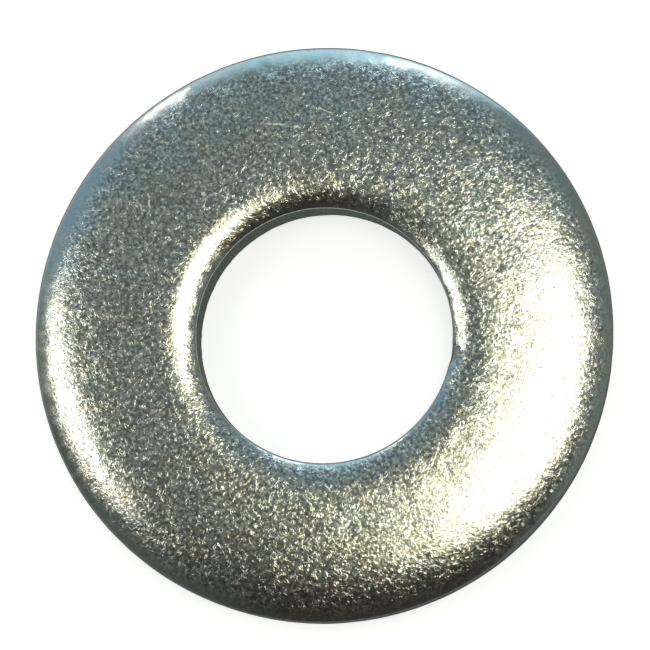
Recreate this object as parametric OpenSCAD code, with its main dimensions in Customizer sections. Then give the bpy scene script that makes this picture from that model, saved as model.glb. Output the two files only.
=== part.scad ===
// Flat washer, 1/4 inch narrow pattern: one disc blanked and pierced from sheet steel.
// Both punched edges roll over on the upper face. The lower face is the burr side.
// Millimetres. The origin is on the hole's axis at the lower face, and +Z points to the rolled face.

/* [Disc] */
// Diameter over the rim
outer_d = 15.875; // [15.75:0.005:16.25]
// Diameter of the hole, measured on its burnished land
hole_d = 7.01; // [7.01:0.001:7.34]
// Distance between the two faces
thickness = 1.651; // [1.295:0.001:2.032]

/* [Rolled edges] */
// How far the roll reaches in from the rim
rim_roll_w = 2.2; // [1.2:0.05:2.4]
// How far the rim has dropped where the roll meets its wall
rim_roll_drop = 0.36; // [0.1:0.01:0.4]
// How far the roll reaches out from the hole
hole_roll_w = 1.05; // [0.6:0.05:1.4]
// How far the hole's edge has dropped where the roll meets its wall
hole_roll_drop = 0.16; // [0.05:0.01:0.3]

/* [Sheared walls] */
// Height of the burnished land, the straight part of each wall
land_h = 0.72; // [0.3:0.01:0.75]
// How far the fracture below the land leans back from it
fracture_lean = 0.04; // [0.01:0.005:0.1]
// Radius that tumbling leaves on each edge of the burr side
burr_edge_r = 0.08; // [0.03:0.005:0.12]

/* [Hidden] */
$fn = 144;
zinc_grey = [0.56, 0.6, 0.6];
hole_r = hole_d / 2;
rim_r = outer_d / 2;
// Cutting shapes reach this far past the blank, so that no cut ends on a face.
overrun = 0.5;

// What the punch drew down at the top of a wall. The wall is on x = 0 and the metal at x > 0.
// The roll is one arc, level where it leaves the face and down by drop where it meets the wall.
module rolled_corner(roll_w, drop) {
    roll_r = (roll_w ^ 2 + drop ^ 2) / (2 * drop);
    difference() {
        translate([-overrun, thickness - drop])
            square([overrun + roll_w, drop + overrun]);
        translate([roll_w, thickness - roll_r])
            circle(r = roll_r);
    }
}

// The wedge between the land's own line and the fracture that leans back below it.
module fracture_wedge(land_bottom) {
    polygon([
        [-overrun, land_bottom],
        [0, land_bottom],
        [fracture_lean, burr_edge_r],
        [fracture_lean, -overrun],
        [-overrun, -overrun]
    ]);
}

// The corner that tumbling rounded off between the fracture and the lower face.
module burr_corner() {
    translate([fracture_lean, 0])
        difference() {
            translate([-overrun, -overrun])
                square(overrun + burr_edge_r);
            translate([burr_edge_r, burr_edge_r])
                circle(r = burr_edge_r);
        }
}

// Everything that punching and tumbling take off the square edge of a blank.
module wall_cuts(roll_w, drop) {
    rolled_corner(roll_w, drop);
    fracture_wedge(thickness - drop - land_h);
    burr_corner();
}

// Section of the ring from the hole to the rim, with x = radius and y = height.
module ring_section() {
    difference() {
        translate([hole_r, 0])
            square([rim_r - hole_r, thickness]);
        translate([hole_r, 0])
            wall_cuts(hole_roll_w, hole_roll_drop);
        translate([rim_r, 0])
            mirror([1, 0])
                wall_cuts(rim_roll_w, rim_roll_drop);
    }
}

module washer() {
    color(zinc_grey)
        rotate_extrude()
            ring_section();
}

washer();
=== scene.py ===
"""A flat washer, blanked from sheet steel, tumbled and zinc plated, on a pale floor in soft studio light.

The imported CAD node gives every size. The piece shown is one dense lathe of the same section, which adds
what punching, tumbling and plating leave: an uneven shear line, torn fracture, dings and a fine grain."""
import math

import bpy
import numpy as np
from mathutils import Matrix, Vector, kdtree


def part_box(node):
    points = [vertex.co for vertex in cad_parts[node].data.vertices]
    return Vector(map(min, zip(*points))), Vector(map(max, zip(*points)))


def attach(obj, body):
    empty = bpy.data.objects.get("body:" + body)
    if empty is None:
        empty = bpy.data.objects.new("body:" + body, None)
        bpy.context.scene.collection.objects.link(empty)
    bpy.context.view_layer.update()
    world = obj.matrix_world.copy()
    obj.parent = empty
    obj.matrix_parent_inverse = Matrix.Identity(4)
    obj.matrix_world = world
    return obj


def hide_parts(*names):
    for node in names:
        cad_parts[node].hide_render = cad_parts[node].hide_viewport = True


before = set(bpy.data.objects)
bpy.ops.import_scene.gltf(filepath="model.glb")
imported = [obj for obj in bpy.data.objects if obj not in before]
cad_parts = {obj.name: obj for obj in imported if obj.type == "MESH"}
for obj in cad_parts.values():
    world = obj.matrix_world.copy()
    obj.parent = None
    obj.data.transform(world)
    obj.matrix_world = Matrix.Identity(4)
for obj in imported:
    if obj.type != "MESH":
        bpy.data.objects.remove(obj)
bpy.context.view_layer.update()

MM = 0.001
SEED = 20

# Camera: off the washer's axis, seen from the lower right of the picture, with +Y upwards in it.
VIEW_TILT = math.radians(9.5)
VIEW_SIDE = math.radians(-55.0)
VIEW_DISTANCE = 10.0    # in rim radii
LENS_MM = 161.6
AIM = (0.0058, 0.0316)  # what the camera looks at, in rim radii from the hole's axis

# Soft lights as seen from the washer: name, degrees off +Z, side in degrees from +X, half width and half
# height in degrees, radiance, colour, and turn about the line to the washer in degrees.
LIGHT_DISTANCE = 0.6
LIGHTS = (
    ("window_right", 11.3, 12, 8.6, 12.2, 4.0, (1.0, 0.97, 0.78), -26),
    ("window_glow", 7.5, 0, 10.5, 11.5, 0.65, (1.0, 0.94, 0.62), 0),
    ("window_left", 31.3, 177, 4.1, 11.5, 4.2, (1.0, 0.98, 0.84), 27),
    ("far_lamp_a", 48, 125, 3, 3.5, 3.5, (1.0, 1.0, 0.97), 0),
    ("far_lamp_b", 44.5, 81, 5.5, 3, 2.5, (0.95, 1.0, 1.0), 0),
)

# The room beyond the lights, from -Y to +Y: where along the unit direction's Y, and the colour there.
ROOM_BANDS = (
    (-0.60, (0.030, 0.027, 0.023)),
    (-0.30, (0.027, 0.024, 0.021)),
    (-0.12, (0.060, 0.061, 0.053)),
    (0.05, (0.118, 0.131, 0.114)),
    (0.35, (0.134, 0.168, 0.171)),
    (0.61, (0.128, 0.170, 0.190)),
    (0.67, (0.36, 0.58, 0.68)),
    (0.76, (0.48, 0.80, 1.00)),
)
ROOM_LOWER_LEFT = (0.065, 0.078, 0.068)
ROOM_UPPER_LEFT = (0.17, 0.27, 0.34)
ROOM_RIGHT = (0.125, 0.15, 0.14)
ROOM_LOW = (0.36, 0.38, 0.39)
ROOM_STRENGTH = 1.5

FLOOR_RADIUS = 1.6
FLOOR_GLOW = 0.66

# Pale marks on the upper face, in millimetres: from, to, width.
SCRATCHES = (
    ((-1.86, 5.90), (-0.71, 5.82), 0.07),
    ((-0.91, 5.80), (-0.61, 5.76), 0.12),
    ((-0.21, 6.33), (0.31, 6.10), 0.06),
    ((-4.86, 4.03), (-4.79, 3.43), 0.06),
    ((-5.06, 3.56), (-4.93, 3.48), 0.12),
    ((-3.39, 3.96), (-3.25, 3.88), 0.13),
)

# The nick in the hole's edge.
NICK_ANGLE = math.radians(-9)
NICK_SIZE = 0.34 * MM
NICK_DEPTH = 0.05 * MM

# Each roll's slope falls away from its wall as exp(-(distance / reach) ^ power).
RIM_ROLL = {"reach": 1.14 * MM, "power": 1.0}
HOLE_ROLL = {"reach": 0.62 * MM, "power": 2.2}

# The hole was punched a little off the middle of the blank, so the rim's centre lies off the hole's axis.
RIM_OFFSET = (-0.08 * MM, 0.13 * MM)

# Mesh: vertices round the washer, vertices round its section, and how far the section's corners are softened.
AROUND = 640
SECTION = 150
SOFTENING = 0.03 * MM
TURN_WEIGHT = 0.35 * MM     # length that a turn of one radian counts for when the vertices are shared out

# The line where roll meets wall wanders up and down: lobes round the circle, height in millimetres.
WANDER = ((11, 0.020), (47, 0.006))

# Torn fracture, in millimetres: the height over which it starts, the streaks' and pits' sizes and depths.
TEAR_START = 0.12
STREAK_WIDTH, STREAK_LENGTH, STREAK_DEPTH = 0.10, 0.35, 0.005
PIT_SIZE, PIT_DEPTH = 0.16, 0.004

# How uneven the sheet is: cell and height in millimetres, and seed.
UNEVENNESS = ((3.1, 0.0050, 11), (0.85, 0.0030, 12), (0.34, 0.0020, 13), (0.17, 0.0012, 14))

# Dents from tumbling: how many, their radius in millimetres, and their depth as a share of it.
DINGS = ((1500, (0.10, 0.16), (0.004, 0.015)), (90, (0.15, 0.35), (0.005, 0.02)))

# A face belongs to a wall where its normal leans out at least this much, as a share of level.
WALL_LEAN = 0.66
BURR_LEAN = 0.15
BURR_HEIGHT = 0.1 * MM

# Colours.
COOL_ZINC = (0.55, 0.59, 0.58)
WARM_ZINC = (0.61, 0.60, 0.55)
STAIN = (0.62, 0.50, 0.37)
PALE_MARK = (0.92, 0.91, 0.86)
# Painted shade: the dark colour laid where a roll turns into its wall.
PAINTED_TURN_SHADE = (0.10, 0.11, 0.10)
OPEN_LAND = (0.44, 0.46, 0.45)
OPEN_FRACTURE = (0.24, 0.25, 0.24)
# Each wall's colour is painted shade: the dark colour it is mixed down to where it is seen along its surface.
# Grazing is its specular tint.
BORE_WALL = {"colour": (0.115, 0.128, 0.110), "grazing": (0.38, 0.42, 0.36)}
RIM_WALL = {"colour": (0.075, 0.085, 0.078), "grazing": (0.3, 0.3, 0.3)}
FLOOR_GREY = (0.86, 0.86, 0.86)
WHITE = (1, 1, 1)


# ---------------------------------------------------------------- section

def near(values, target, slack=0.002 * MM):
    return np.abs(values - target) < slack


def wall_facts(r, z, wall_r):
    """Where one sheared wall's land, fracture and burr edge lie, read from the CAD node's vertices."""
    land = z[near(r, wall_r)]
    close = near(r, wall_r, 0.5 * MM)
    below = close & (z < land.min() - 0.01 * MM)
    foot_z = z[below].max()
    foot_r = r[below & near(z, foot_z)].mean()
    return {"r": wall_r, "land_top": land.max(), "land_bottom": land.min(),
            "foot_z": foot_z, "foot_r": foot_r}


def section_facts(node):
    """The heights and radii of the CAD node's section."""
    co = np.array([v.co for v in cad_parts[node].data.vertices], float)
    r, z = np.hypot(co[:, 0], co[:, 1]), co[:, 2]
    bottom = r[near(z, z.min())]
    hole, rim = wall_facts(r, z, r.min()), wall_facts(r, z, r.max())
    hole.update(base=bottom.min())
    rim.update(base=bottom.max())
    return {"top": z.max(), "bottom": z.min(), "hole": hole, "rim": rim}


def wall_curve(wall, bottom, step):
    """One wall of the section, from the lower face round the burr edge, up the fracture and the land."""
    corner = np.linspace(0, math.pi / 2, 24)
    edge_r = wall["base"] + (wall["foot_r"] - wall["base"]) * np.sin(corner)
    edge_z = bottom + (wall["foot_z"] - bottom) * (1 - np.cos(corner))
    heights = np.arange(wall["foot_z"], wall["land_top"], step)
    lean = np.clip((wall["land_bottom"] - heights) / (wall["land_bottom"] - wall["foot_z"]), 0, 1)
    straight_r = wall["r"] + (wall["foot_r"] - wall["r"]) * lean
    return np.concatenate([np.stack([edge_r, edge_z], 1), np.stack([straight_r, heights], 1)])


def roll_drop(distance, reach, power):
    """How far a roll has dropped at each distance from its wall, as a share of its whole drop."""
    slope = np.exp(-(distance / reach) ** power)
    if distance[0] < distance[-1]:
        drop = np.cumsum(slope[::-1])[::-1]
    else:
        drop = np.cumsum(slope)
    return drop / drop.max()


def upper_face(facts, step):
    """The upper face from hole to rim.

    The rolls' tails overlap, so the drops are raised step by step until the highest point is at the top."""
    top, hole, rim = facts["top"], facts["hole"], facts["rim"]
    r = np.arange(hole["r"], rim["r"] + step / 2, step)
    at_hole = roll_drop(r - r[0], **HOLE_ROLL)
    at_rim = roll_drop(r[-1] - r, **RIM_ROLL)
    crown = 0.0
    for _ in range(8):
        hole_drop = top - hole["land_top"] + crown
        rim_drop = top - rim["land_top"] + crown
        drop = hole_drop * at_hole + rim_drop * at_rim
        crown = drop.min()
    return np.stack([r, top + crown - drop], 1)


def smooth_loop(loop, sigma):
    """The closed loop resampled evenly and softened by a Gaussian of that length."""
    per_sigma = 4
    ends = np.vstack([loop, loop[:1]])
    length = np.concatenate([[0], np.cumsum(np.linalg.norm(np.diff(ends, axis=0), axis=1))])
    count = int(length[-1] / (sigma / per_sigma))
    even = np.linspace(0, length[-1], count, endpoint=False)
    line = np.stack([np.interp(even, length, ends[:, k]) for k in (0, 1)], 1)
    reach = np.arange(-4 * per_sigma, 4 * per_sigma + 1)
    weights = np.exp(-0.5 * (reach / per_sigma) ** 2)
    return sum(w * np.roll(line, k, axis=0) for w, k in zip(weights / weights.sum(), reach))


def resample(loop, count, turn_weight):
    """The loop at count points, closer together where it turns."""
    ends = np.vstack([loop, loop[:1]])
    step = np.linalg.norm(np.diff(ends, axis=0), axis=1)
    heading = np.unwrap(np.arctan2(*np.diff(ends, axis=0).T[::-1]))
    turn = np.abs(np.diff(np.append(heading, heading[0] + 2 * math.pi)))
    cost = np.concatenate([[0], np.cumsum(step + turn_weight * np.minimum(turn, 1.0))])
    even = np.linspace(0, cost[-1], count, endpoint=False)
    return np.stack([np.interp(even, cost, ends[:, k]) for k in (0, 1)], 1)


def section_loop(facts):
    """The whole section as one closed loop, from the foot of the bore over the upper face and back."""
    step = 0.01 * MM
    hole = wall_curve(facts["hole"], facts["bottom"], step)
    rim = wall_curve(facts["rim"], facts["bottom"], step)
    lower = np.linspace(rim[0], hole[0], int((rim[0, 0] - hole[0, 0]) / step))[1:-1]
    loop = np.concatenate([hole, upper_face(facts, step), rim[::-1], lower])
    return resample(smooth_loop(loop, SOFTENING), SECTION, TURN_WEIGHT)


# ---------------------------------------------------------------- noise for the mesh

def lattice(cells, seed):
    """A repeatable random number from -1 to 1 for each whole-number cell."""
    keys = (cells * np.array([73856093, 19349663, 83492791])).sum(-1) + seed * 2654435761
    keys = (keys ^ (keys >> 13)) * 1274126177 & 0xFFFFFFFF
    keys = (keys ^ (keys >> 16)) * 2246822519 & 0xFFFFFFFF
    return (keys & 0xFFFFFF) / 0x7FFFFF - 1.0


def noise(points, cell, seed):
    """Smooth value noise with that cell size."""
    scaled = points / cell
    low = np.floor(scaled).astype(np.int64)
    t = scaled - low
    t = t * t * (3 - 2 * t)
    total = 0
    for corner in np.ndindex(2, 2, 2):
        pick = np.array(corner)
        weight = np.prod(np.where(pick, t, 1 - t), axis=-1)
        total = total + weight * lattice(low + pick, seed)
    return total


def ring_noise(angle, lobes, seed):
    """Smooth noise round the circle with about that many lobes."""
    circle = np.stack([np.cos(angle), np.sin(angle), np.zeros_like(angle)], -1)
    return noise(circle * lobes / (2 * math.pi) + 40.0, 1.0, seed)


# ---------------------------------------------------------------- washer

def lathe(loop):
    """The section swept round +Z: vertices, faces, and each vertex's angle."""
    angle = np.linspace(0, 2 * math.pi, AROUND, endpoint=False)
    ring = np.stack([np.cos(angle), np.sin(angle)], 1)
    r, z = loop.T
    co = np.empty((AROUND, len(loop), 3))
    co[..., 0], co[..., 1], co[..., 2] = ring[:, :1] * r, ring[:, 1:] * r, z
    index = np.arange(AROUND * len(loop)).reshape(AROUND, len(loop))
    ahead, after = np.roll(index, -1, axis=0), np.roll(index, -1, axis=1)
    faces = np.stack([index, after, np.roll(ahead, -1, axis=1), ahead], -1).reshape(-1, 4)
    return co, faces, angle


def section_normals(loop):
    """Outward normals of the closed section as (radial, height)."""
    along = np.roll(loop, -1, axis=0) - np.roll(loop, 1, axis=0)
    out = np.stack([-along[:, 1], along[:, 0]], 1)
    return out / np.linalg.norm(out, axis=1, keepdims=True)


def ding(co, normal, tree, rng, count, radius, slope):
    """Presses small round dents, each with a low lip, where tumbling parts struck the surface."""
    lip_height, lip_at, lip_width, reach = 0.25, 1.1, 0.22, 1.5
    shift = np.zeros(len(co))
    centres = rng.integers(0, len(co), count)
    sizes = rng.uniform(*radius, count) * MM
    depths = sizes * rng.uniform(*slope, count)
    for centre, size, depth in zip(centres, sizes, depths):
        found = tree.find_range(Vector(co[centre]), size * reach)
        at = np.array([i for _, i, _ in found])
        u = np.array([d for _, _, d in found]) / size
        lip = lip_height * np.exp(-((u - lip_at) / lip_width) ** 2)
        shift[at] += depth * (lip - np.clip(1 - u * u, 0, 1) ** 2)
    return co + normal * shift[:, None]


def sweep(loop, facts):
    """The section swept round the hole's axis, with its rim shifted: vertices, normals, faces and angles."""
    grid, faces, angle = lathe(loop)
    out = section_normals(loop)
    hole_r, rim_r = facts["hole"]["r"], facts["rim"]["r"]
    outward = np.clip((loop[:, 0] - hole_r) / (rim_r - hole_r), 0, 1)
    grid[..., :2] += outward[:, None] * RIM_OFFSET
    radial = np.stack([np.cos(angle), np.sin(angle)], 1)
    normal = np.empty_like(grid)
    normal[..., :2] = radial[:, None, :] * out[None, :, :1]
    normal[..., 2] = out[None, :, 1]
    return grid, normal, faces, angle


def punch(grid, normal, angle, loop, facts):
    """Gives each wall a shear line that wanders and, below its land, a torn fracture."""
    r, z = loop[None, :, 0], loop[None, :, 1]
    level = np.abs(section_normals(loop)[None, :, 1])
    middle = (facts["hole"]["r"] + facts["rim"]["r"]) / 2
    for wall, inner, seed in ((facts["hole"], r < middle, 3), (facts["rim"], r > middle, 7)):
        roll = np.clip((facts["top"] - z) / (facts["top"] - wall["land_top"]), 0, 1)
        hold = np.clip((z - wall["foot_z"]) / (wall["land_top"] - wall["foot_z"]), 0, 1)
        wander = sum(ring_noise(angle, lobes, seed + i) * height for i, (lobes, height) in enumerate(WANDER))
        grid[..., 2] += inner * roll * hold * wander[:, None] * MM

        torn = np.clip((wall["land_bottom"] - z) / (TEAR_START * MM), 0, 1) * (level < 0.7)
        along = angle[:, None] * wall["r"] / (STREAK_WIDTH * MM)
        unrolled = np.stack(np.broadcast_arrays(along, z / (STREAK_LENGTH * MM), 0 * z), -1)
        streak = noise(unrolled + 30.0, 1.0, seed + 2)
        pits = noise(grid / (PIT_SIZE * MM) + 50.0, 1.0, seed + 3)
        depth = streak * STREAK_DEPTH + pits * PIT_DEPTH - PIT_DEPTH
        grid += normal * (inner * torn * depth)[..., None] * MM


def tumble(co, normal):
    """The soft unevenness at several scales and the dents that tumbling left on the sheet."""
    for cell, height, seed in UNEVENNESS:
        co = co + normal * (noise(co / (cell * MM) + 60.0, 1.0, seed) * height * MM)[:, None]
    tree = kdtree.KDTree(len(co))
    for i, point in enumerate(co):
        tree.insert(point, i)
    tree.balance()
    rng = np.random.default_rng(SEED)
    for count, radius, slope in DINGS:
        co = ding(co, normal, tree, rng, count, radius, slope)
    return co


def press_nick(co, normal, wall):
    """One nick in the hole's edge, where something harder struck it."""
    place = np.array([math.cos(NICK_ANGLE), math.sin(NICK_ANGLE), 0]) * wall["r"]
    place[2] = wall["land_top"]
    reach = np.linalg.norm(co - place, axis=1) / NICK_SIZE
    return co - normal * (NICK_DEPTH * np.clip(1 - reach * reach, 0, 1) ** 2)[:, None]


def wall_zones(loop, facts):
    """For each point of the section: 1 on the bore, 2 on the rim's wall, 0 on the faces and rolls."""
    lean = np.abs(section_normals(loop)[:, 0])
    burr = (loop[:, 1] < facts["bottom"] + BURR_HEIGHT) & (lean > BURR_LEAN)
    middle = (facts["hole"]["r"] + facts["rim"]["r"]) / 2
    return np.where((lean > WALL_LEAN) | burr, np.where(loop[:, 0] < middle, 1, 2), 0)


def washer_mesh(facts):
    loop = section_loop(facts)
    grid, normal, faces, angle = sweep(loop, facts)
    punch(grid, normal, angle, loop, facts)
    co, normal = grid.reshape(-1, 3), normal.reshape(-1, 3)
    co = press_nick(tumble(co, normal), normal, facts["hole"])
    return co, faces, np.tile(wall_zones(loop, facts), AROUND)


def build_washer():
    facts = section_facts("washer")
    co, faces, zone = washer_mesh(facts)
    mesh = bpy.data.meshes.new("plated_washer")
    mesh.from_pydata(co.tolist(), [], faces.tolist())
    mesh.materials.append(zinc_plate(facts))
    mesh.materials.append(sheared_wall("bore_wall", facts["hole"], **BORE_WALL))
    mesh.materials.append(sheared_wall("rim_wall", facts["rim"], **RIM_WALL))
    mesh.polygons.foreach_set("material_index", zone[faces[:, 0]].astype(np.int32))
    mesh.polygons.foreach_set("use_smooth", np.ones(len(faces), bool))
    mesh.update()
    washer = bpy.data.objects.new("plated_washer", mesh)
    bpy.context.scene.collection.objects.link(washer)
    return washer


# ---------------------------------------------------------------- materials

class Nodes:
    """Short names for building a node tree."""

    def __init__(self, tree):
        self.tree = tree
        tree.nodes.clear()

    def add(self, kind, **values):
        node = self.tree.nodes.new(kind)
        for name, value in values.items():
            setattr(node, name, value)
        return node

    def wire(self, value, socket):
        """Links an output to the socket, or sets the socket to a number, a vector or a colour."""
        if isinstance(value, bpy.types.NodeSocket):
            self.tree.links.new(value, socket)
        elif socket.type == "RGBA":
            socket.default_value = (*value, 1)
        else:
            socket.default_value = value

    def math(self, operation, *inputs, clamp=False):
        node = self.add("ShaderNodeMath", operation=operation, use_clamp=clamp)
        for value, socket in zip(inputs, node.inputs):
            self.wire(value, socket)
        return node.outputs[0]

    def vector(self, operation, *inputs):
        node = self.add("ShaderNodeVectorMath", operation=operation)
        for value, socket in zip(inputs, node.inputs):
            self.wire(value, socket)
        return node.outputs["Value" if operation == "LENGTH" else "Vector"]

    def split(self, vector):
        node = self.add("ShaderNodeSeparateXYZ")
        self.wire(vector, node.inputs[0])
        return node.outputs

    def turned(self, vector, angle):
        """The vector turned about Z."""
        node = self.add("ShaderNodeVectorRotate", rotation_type="Z_AXIS")
        self.wire(vector, node.inputs["Vector"])
        self.wire(angle, node.inputs["Angle"])
        return node.outputs[0]

    def between(self, value, ends, to=(0.0, 1.0)):
        """Eases from to[0] to to[1] while the value goes from ends[0] to ends[1]."""
        node = self.add("ShaderNodeMapRange", interpolation_type="SMOOTHSTEP")
        for each, socket in zip((value, *ends, *to), node.inputs):
            self.wire(each, socket)
        return node.outputs["Result"]

    def noise(self, where, scale, detail=2.0, rough=0.5, distortion=0.0):
        node = self.add("ShaderNodeTexNoise")
        for name, value in (("Vector", where), ("Scale", scale), ("Detail", detail),
                            ("Roughness", rough), ("Distortion", distortion)):
            self.wire(value, node.inputs[name])
        return node.outputs[0]

    def mix(self, factor, one, other):
        """From one colour to the other."""
        node = self.add("ShaderNodeMix", data_type="RGBA")
        self.wire(factor, node.inputs["Factor"])
        self.wire(one, node.inputs[6])
        self.wire(other, node.inputs[7])
        return node.outputs[2]

    def bump(self, height, depth):
        """Normals of a relief whose height is given as a share of that depth in millimetres."""
        node = self.add("ShaderNodeBump")
        self.wire(depth * MM, node.inputs["Distance"])
        self.wire(height, node.inputs["Height"])
        return node.outputs[0]

    def surface(self, inputs):
        """Ends the tree in a Principled shader with those inputs."""
        shader = self.add("ShaderNodeBsdfPrincipled")
        for name, value in inputs.items():
            self.wire(value, shader.inputs[name])
        self.wire(shader.outputs[0], self.add("ShaderNodeOutputMaterial").inputs["Surface"])


def new_material(name):
    material = bpy.data.materials.new(name)
    material.use_nodes = True
    return material, Nodes(material.node_tree)


def millimetres(n):
    """The piece's own coordinates in millimetres."""
    where = n.add("ShaderNodeTexCoord").outputs["Object"]
    return n.vector("MULTIPLY", where, (1 / MM,) * 3)


def named_scratches(n, where):
    """The longer pale marks, each a ragged stroke from a to b in millimetres."""
    ragged = n.math("MULTIPLY", n.noise(where, scale=16.0, detail=1.0), 2.6)
    marks = 0.0
    for (ax, ay), (bx, by), width in SCRATCHES:
        length = math.hypot(bx - ax, by - ay)
        centred = n.vector("SUBTRACT", where, ((ax + bx) / 2, (ay + by) / 2, 0))
        along = n.turned(centred, -math.atan2(by - ay, bx - ax))
        local = n.vector("MULTIPLY", along, (2 / length, 2 / width, 0))
        edge = n.math("ADD", n.vector("LENGTH", local), ragged)
        marks = n.math("MAXIMUM", marks, n.between(edge, (2.35, 1.65)))
    return marks


def hairlines(n, where):
    """Faint scratches in three directions, each present only here and there."""
    marks = 0.0
    for heading, shift in ((20, 3.0), (75, 9.0), (140, 15.0)):
        along = n.turned(n.vector("ADD", where, (shift, shift, 0)), math.radians(heading))
        drawn_out = n.vector("MULTIPLY", along, (1.3, 24.0, 1.0))
        line = n.noise(drawn_out, scale=1.0, detail=1.0, rough=0.4, distortion=0.5)
        patch = n.noise(along, scale=1.2, detail=0.0)
        mark = n.math("MULTIPLY", n.between(line, (0.72, 0.82), (0.0, 0.45)), n.between(patch, (0.58, 0.70)))
        marks = n.math("MAXIMUM", marks, mark)
    return marks


def grain_share(n, where, facts):
    """How strong the grain is: 1 on the face, and fading over the rolled edges, which were drawn smooth."""
    radius = n.vector("LENGTH", n.vector("MULTIPLY", where, (1, 1, 0)))
    hole_r, rim_r = facts["hole"]["r"] / MM, facts["rim"]["r"] / MM
    at_rim = n.between(radius, (rim_r - 0.0775, rim_r - 0.5875), (0.06, 1.0))
    at_hole = n.between(radius, (hole_r + 0.015, hole_r + 0.245), (0.25, 1.0))
    return n.math("MULTIPLY", at_rim, at_hole)


def worm_ridges(n, where):
    """Short worm-like ridges about a tenth of a millimetre long, in patches."""
    worm = n.noise(where, scale=7.8, detail=1.0, rough=0.5, distortion=1.4)
    off_line = n.math("ABSOLUTE", n.math("SUBTRACT", worm, 0.5))
    ridge = n.math("SUBTRACT", 1.0, n.math("MULTIPLY", off_line, 9.0, clamp=True))
    patch = n.between(n.noise(where, scale=8.0, detail=0.0), (0.38, 0.60))
    return n.math("MULTIPLY", ridge, patch)


def painted_turn_shade_mask(n):
    """1 where the surface has begun to turn from a roll into its wall, told by its slope; the plate is
    painted dark there as shade.
    """
    slope = n.split(n.add("ShaderNodeTexCoord").outputs["Normal"])["Z"]
    return n.between(n.math("ABSOLUTE", slope), (0.93, 0.85))


def zinc_plate(facts):
    """Clear zinc over tumbled steel: worm-like grain over crystal grit, hairlines, scratches and stains, with
    painted shade where the rolls turn into their walls.
    """
    material, n = new_material("zinc_plate")
    where = millimetres(n)
    grainy = grain_share(n, where, facts)
    ridge = worm_ridges(n, where)
    grit = n.noise(where, scale=12.5, detail=1.0, rough=0.5)
    height = n.math("ADD", n.math("MULTIPLY", ridge, 0.65), grit)
    marks = n.math("MAXIMUM", hairlines(n, where), named_scratches(n, where))

    # The zinc drifts between cool and warm grey, has a few stains, and varies from crystal to crystal.
    drift = n.between(n.noise(where, scale=1.3, detail=3.0, rough=0.6), (0.35, 0.65))
    elsewhere = n.vector("ADD", where, (31, 7, 0))
    stain = n.between(n.noise(elsewhere, scale=1.7, detail=2.0, rough=0.7), (0.62, 0.74), (0.0, 0.4))
    crystal = n.between(n.noise(where, scale=12.0, detail=1.5, rough=0.6), (0.32, 0.68), (-0.46, 0.34))
    shade = n.math("MULTIPLY_ADD", ridge, 0.62, crystal)
    tint = n.mix(stain, n.mix(drift, COOL_ZINC, WARM_ZINC), STAIN)
    tint = n.vector("MULTIPLY", tint, n.math("MULTIPLY_ADD", shade, grainy, 1.0))
    tint = n.mix(n.math("MULTIPLY", marks, 0.8), tint, PALE_MARK)
    # Painted shade: the colour goes dark where a roll turns steeply into its wall.
    tint = n.mix(painted_turn_shade_mask(n), tint, PAINTED_TURN_SHADE)

    rough = n.between(n.noise(where, scale=5.0, detail=3.0, rough=0.6), (0.3, 0.7), (0.12, 0.20))
    n.surface({
        "Base Color": tint,
        "Metallic": 1.0,
        "Roughness": n.math("ADD", rough, n.math("MULTIPLY", marks, 0.25)),
        "Normal": n.bump(n.math("MULTIPLY", height, grainy), depth=0.0023),
    })
    return material


def sheared_wall(name, wall, colour, grazing):
    """A punched wall: a burnished land above a duller fracture, both streaked along the punch's travel.

    Layer Weight mixes its open colours down to the dark colour, which is painted shade, as it turns away from
    the view, and makes it less metallic there."""
    material, n = new_material(name)
    where = millimetres(n)
    streaks = n.noise(n.vector("MULTIPLY", where, (1.0, 1.0, 0.12)), scale=14.0, detail=3.0, rough=0.6)

    # The land's lower edge is wavy.
    land_bottom = wall["land_bottom"] / MM
    wave = n.math("MULTIPLY", n.noise(where, scale=3.0, detail=2.0), 0.16)
    height = n.math("ADD", n.split(where)["Z"], wave)
    land = n.between(height, (land_bottom + 0.03, land_bottom + 0.13))

    # Painted shade: seen along its surface, the wall's colour goes down to the dark colour and it gets less
    # metallic.
    painted_shade = n.between(n.add("ShaderNodeLayerWeight").outputs["Facing"], (0.25, 0.55))
    tint = n.mix(painted_shade, n.mix(land, OPEN_FRACTURE, OPEN_LAND), colour)
    tint = n.vector("MULTIPLY", tint, n.between(streaks, (0.3, 0.7), (0.72, 1.05)))
    rough = n.between(n.noise(where, scale=9.0, detail=2.0), (0.3, 0.7), (0.40, 0.55))
    n.surface({
        "Base Color": tint,
        "Metallic": n.between(painted_shade, (0.0, 1.0), (0.85, 0.3)),
        "Roughness": n.math("SUBTRACT", rough, n.math("MULTIPLY", land, 0.12)),
        "Specular IOR Level": 0.0,
        "Specular Tint": grazing,
        "Normal": n.bump(streaks, depth=0.012),
    })
    return material


def pale_floor():
    material, n = new_material("pale_floor")
    n.surface({
        "Base Color": FLOOR_GREY,
        "Roughness": 0.7,
        "Emission Color": WHITE,
        "Emission Strength": FLOOR_GLOW,
    })
    return material


# ---------------------------------------------------------------- studio

def direction(polar, side):
    """Unit vector that many degrees off +Z, towards that side, in degrees from +X."""
    p, s = math.radians(polar), math.radians(side)
    return Vector((math.sin(p) * math.cos(s), math.sin(p) * math.sin(s), math.cos(p)))


def looking(away, turn=0.0):
    """The turn that points an object's own Z along away and keeps its own Y as near +Y as it goes."""
    z = away.normalized()
    x = Vector((0, 1, 0)).cross(z).normalized()
    facing = Matrix((x, z.cross(x), z)).transposed()
    return (facing @ Matrix.Rotation(math.radians(turn), 3, "Z")).to_quaternion()


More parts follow.
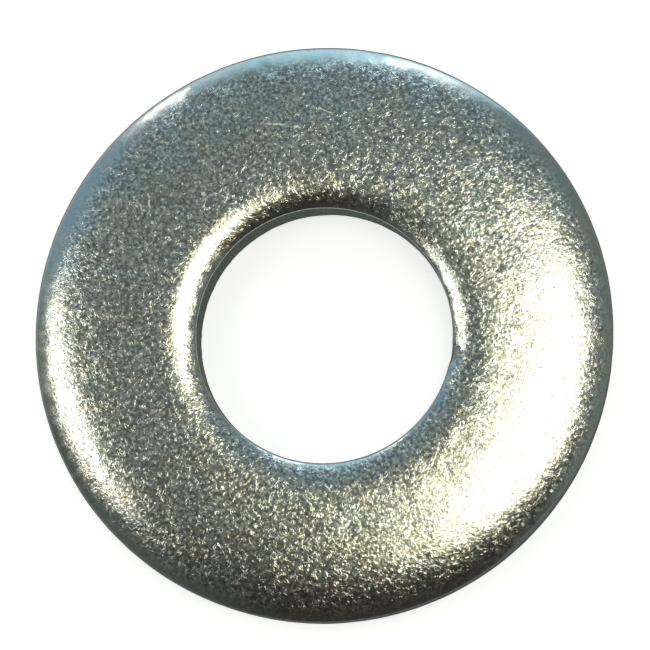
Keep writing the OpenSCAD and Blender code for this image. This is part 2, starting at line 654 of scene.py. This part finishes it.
def soft_box(name, polar, side, half_across, half_up, radiance, colour, turn):
    """An elliptical soft light as seen from the washer. Its angles are in degrees."""
    data = bpy.data.lights.new(name, "AREA")
    data.shape = "ELLIPSE"
    data.size = 2 * LIGHT_DISTANCE * math.tan(math.radians(half_across))
    data.size_y = 2 * LIGHT_DISTANCE * math.tan(math.radians(half_up))
    data.color = colour
    data.energy = radiance * math.pi * math.pi / 4 * data.size * data.size_y
    light = bpy.data.objects.new(name, data)
    away = direction(polar, side)
    light.location = away * LIGHT_DISTANCE
    light.rotation_mode = "QUATERNION"
    light.rotation_quaternion = looking(away, turn)
    bpy.context.scene.collection.objects.link(light)


def room_bands(n, y):
    """The room's colours from -Y to +Y."""
    ramp = n.add("ShaderNodeValToRGB")
    n.wire(n.math("MULTIPLY_ADD", y, 0.5, 0.5), ramp.inputs[0])
    ramp.color_ramp.interpolation = "EASE"
    marks = ramp.color_ramp.elements
    while len(marks) < len(ROOM_BANDS):
        marks.new(0.5)
    for mark, (place, colour) in zip(marks, ROOM_BANDS):
        mark.position = place * 0.5 + 0.5
        mark.color = (*colour, 1)
    return ramp.outputs[0]


def surroundings():
    """The room beyond the lights: brown towards -Y, grey overhead, sky blue towards +Y, white low down."""
    world = bpy.data.worlds.new("room")
    bpy.context.scene.world = world
    world.use_nodes = True
    n = Nodes(world.node_tree)
    toward = n.split(n.add("ShaderNodeTexCoord").outputs["Generated"])
    x, y, z = toward["X"], toward["Y"], toward["Z"]
    lower_left = n.math("MULTIPLY", n.between(x, (-0.15, -0.50)), n.between(y, (0.0, -0.25)))
    upper_left = n.math("MULTIPLY", n.between(x, (-0.36, -0.56)), n.between(y, (0.12, 0.36)))
    room = n.mix(lower_left, room_bands(n, y), ROOM_LOWER_LEFT)
    room = n.mix(n.between(x, (0.36, 0.50)), room, ROOM_RIGHT)
    room = n.mix(upper_left, room, ROOM_UPPER_LEFT)
    room = n.mix(n.between(z, (0.64, 0.54)), room, ROOM_LOW)
    room = n.mix(n.between(z, (0.32, 0.10)), room, WHITE)
    background = n.add("ShaderNodeBackground")
    n.wire(room, background.inputs["Color"])
    n.wire(ROOM_STRENGTH, background.inputs["Strength"])
    n.wire(background.outputs[0], n.add("ShaderNodeOutputWorld").inputs["Surface"])


def floor():
    bpy.ops.mesh.primitive_circle_add(vertices=96, radius=FLOOR_RADIUS, fill_type="NGON")
    plane = bpy.context.object
    plane.name = "floor"
    plane.data.materials.append(pale_floor())


def camera(rim_r, top):
    data = bpy.data.cameras.new("camera")
    data.lens, data.sensor_width = LENS_MM, 36.0
    data.clip_start, data.clip_end = rim_r * 0.05, rim_r * 100
    cam = bpy.data.objects.new("camera", data)
    flat = Vector((math.cos(VIEW_SIDE), math.sin(VIEW_SIDE), 0)) * math.sin(VIEW_TILT)
    centre = Vector((0, 0, top))
    cam.location = centre + (flat + Vector((0, 0, math.cos(VIEW_TILT)))) * VIEW_DISTANCE * rim_r
    cam.rotation_mode = "QUATERNION"
    cam.rotation_quaternion = looking(cam.location - centre - Vector((*AIM, 0)) * rim_r)
    bpy.context.scene.collection.objects.link(cam)
    bpy.context.scene.camera = cam


low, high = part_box("washer")
camera(high.x, high.z)
surroundings()
floor()
for light in LIGHTS:
    soft_box(*light)
bpy.context.scene.view_settings.view_transform = "Standard"

washer = build_washer()
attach(washer, "root")
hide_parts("washer")
